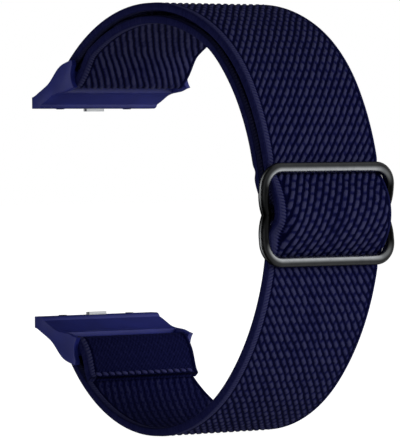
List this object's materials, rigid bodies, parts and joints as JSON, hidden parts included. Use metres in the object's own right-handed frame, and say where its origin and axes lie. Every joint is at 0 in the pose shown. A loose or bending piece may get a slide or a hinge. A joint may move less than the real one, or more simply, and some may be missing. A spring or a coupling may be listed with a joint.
{
  "type": "nylon watch strap",
  "caption": "Elastic nylon webbing loop with a wire slider for length and a moulded connector at each end whose foot slides into a watch case",
  "frame": {"origin": "middle of the watch head: halfway between the two feet, at the level of their rounded fronts' centres", "axes": "+X along the wearer's arm, across the webbing; -Y from the watch through the wrist to the slider; +Z from the watch's middle through the upper connector"},
  "size_m": [0.029, 0.072, 0.0759],
  "materials": {
    "webbing": "close-woven elastic nylon webbing, very dark navy",
    "thread": "twisted nylon sewing thread, navy",
    "connector": "moulded, semi-matte, dark navy",
    "slider_metal": "polished gunmetal plating on round wire",
    "latch_steel": "stainless steel, finely brushed",
    "pad": "black elastomer, matt"
  },
  "bodies": {
    "webbing": {"webbing_lower_run": "webbing", "webbing_upper_run": "webbing", "lower_hem_stitching": "thread"},
    "upper_connector": {"upper_connector": "connector", "upper_latch_spring": "latch_steel", "upper_latch_cover": "latch_steel", "upper_foot_pads": "pad"},
    "lower_connector": {"lower_connector": "connector", "lower_latch_spring": "latch_steel", "lower_latch_cover": "latch_steel", "lower_foot_pads": "pad"},
    "upper_latch": {"upper_latch_button": "latch_steel"},
    "lower_latch": {"lower_latch_button": "latch_steel"},
    "slider_carriage": {"webbing_slider_pass": "webbing", "webbing_slider_tail": "webbing", "slider_hem": "webbing", "slider_hem_stitching": "thread"},
    "slider": {"slider_frame": "slider_metal", "slider_centre_bar": "slider_metal"}
  },
  "joints": [
    {"name": "upper_connector_pivot", "type": "hinge", "parent": "webbing", "child": "upper_connector", "pos_m": [0, -0.0108, 0.0247], "axis": [1, 0, 0], "range_deg": [-30, 15]},
    {"name": "lower_connector_pivot", "type": "hinge", "parent": "webbing", "child": "lower_connector", "pos_m": [0, -0.0108, -0.0247], "axis": [-1, 0, 0], "range_deg": [-30, 15]},
    {"name": "upper_latch_press", "type": "slide", "parent": "upper_connector", "child": "upper_latch", "axis": [0, 0, 1], "range_m": [0, 0.0005], "stiffness_N_per_m": 1000, "springref_m": -0.0003, "deforming": ["upper_latch_spring"]},
    {"name": "lower_latch_press", "type": "slide", "parent": "lower_connector", "child": "lower_latch", "axis": [0, 0, -1], "range_m": [0, 0.0005], "stiffness_N_per_m": 1000, "springref_m": -0.0003, "deforming": ["lower_latch_spring"]},
    {"name": "slider_travel", "type": "hinge", "parent": "webbing", "child": "slider_carriage", "pos_m": [0, -0.0255, 0], "axis": [-1, 0, 0], "range_deg": [-13.42, 13.42], "deforming": ["webbing_slider_pass", "webbing_slider_tail"]},
    {"name": "slider_tilt", "type": "hinge", "parent": "slider_carriage", "child": "slider", "pos_m": [0, -0.0676, -0.00037], "axis": [1, 0, 0], "range_deg": [-4, 4]}
  ]
}
